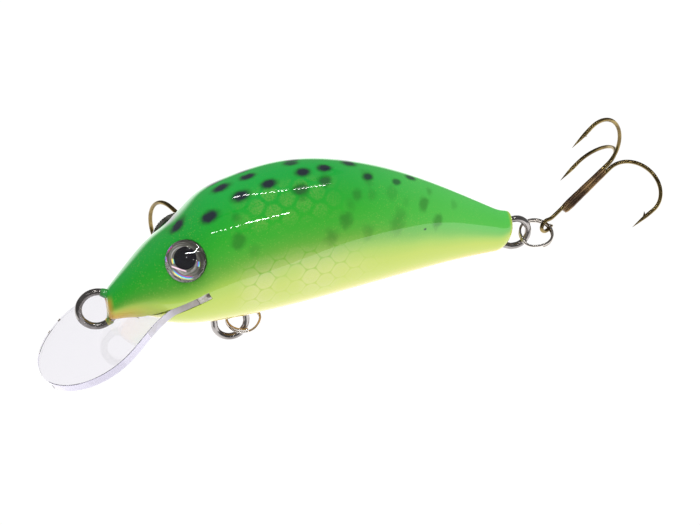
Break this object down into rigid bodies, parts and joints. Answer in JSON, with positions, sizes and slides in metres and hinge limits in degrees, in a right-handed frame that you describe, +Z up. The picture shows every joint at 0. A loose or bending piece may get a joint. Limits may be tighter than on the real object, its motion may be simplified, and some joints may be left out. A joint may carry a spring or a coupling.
{
  "type": "crankbait lure",
  "caption": "Short fat fishing lure: hard fish-shaped body with domed eyes, clear diving bill, wire line tie, and treble hooks hung on split rings.",
  "frame": {"origin": "centre of the line tie eyelet on the nose", "axes": "+X from the nose to the tail, +Y to the lure's right side, +Z up through the back"},
  "size_m": [0.0787, 0.0288, 0.0212],
  "materials": {
    "body_paint": "green over yellow, gloss lacquer",
    "clear_resin": "clear, polished",
    "amber_resin": "clear amber",
    "steel_wire": "bright drawn wire",
    "bronze_wire": "bronze plated, glossy",
    "braze": "bronze plated, satin",
    "lead": "dull grey cast lead",
    "eye_foil": "silver prism foil",
    "eye_black": "gloss black"
  },
  "bodies": {
    "lure_body": {"body_left_half": "body_paint", "body_right_half": "body_paint", "wire_harness": "steel_wire", "belly_ballast": "lead", "diving_bill": "clear_resin", "bill_slot_epoxy": "clear_resin", "nose_resin_plug": "amber_resin", "left_eye_foil": "eye_foil", "left_eye_pupil": "eye_black", "left_eye_lens": "clear_resin", "right_eye_foil": "eye_foil", "right_eye_pupil": "eye_black", "right_eye_lens": "clear_resin"},
    "belly_ring": {"belly_split_ring": "steel_wire"},
    "belly_treble": {"belly_treble_eyed_hook": "bronze_wire", "belly_treble_side_hook_1": "bronze_wire", "belly_treble_side_hook_2": "bronze_wire", "belly_treble_braze": "braze"},
    "tail_ring": {"tail_split_ring": "steel_wire"},
    "tail_treble": {"tail_treble_eyed_hook": "bronze_wire", "tail_treble_side_hook_1": "bronze_wire", "tail_treble_side_hook_2": "bronze_wire", "tail_treble_braze": "braze"}
  },
  "joints": [
    {"name": "belly_ring_swing", "type": "hinge", "parent": "lure_body", "child": "belly_ring", "pos_m": [0.01705, 0, -0.00548], "axis": [1, 0, 0], "range_deg": [-45, 5]},
    {"name": "belly_treble_swing", "type": "hinge", "parent": "belly_ring", "child": "belly_treble", "pos_m": [0.01586, 0.00258, -0.0045], "axis": [0.8145, 0.5343, 0.2261], "range_deg": [-120, 0]},
    {"name": "tail_ring_swing", "type": "hinge", "parent": "lure_body", "child": "tail_ring", "pos_m": [0.05362, 0, 0.0005], "axis": [0, 0, 1], "range_deg": [-35, 35]},
    {"name": "tail_treble_swing", "type": "hinge", "parent": "tail_ring", "child": "tail_treble", "pos_m": [0.0561, -0.00006, 0.00061], "axis": [-0.5272, 0.7442, 0.4101], "range_deg": [-45, 105]}
  ]
}
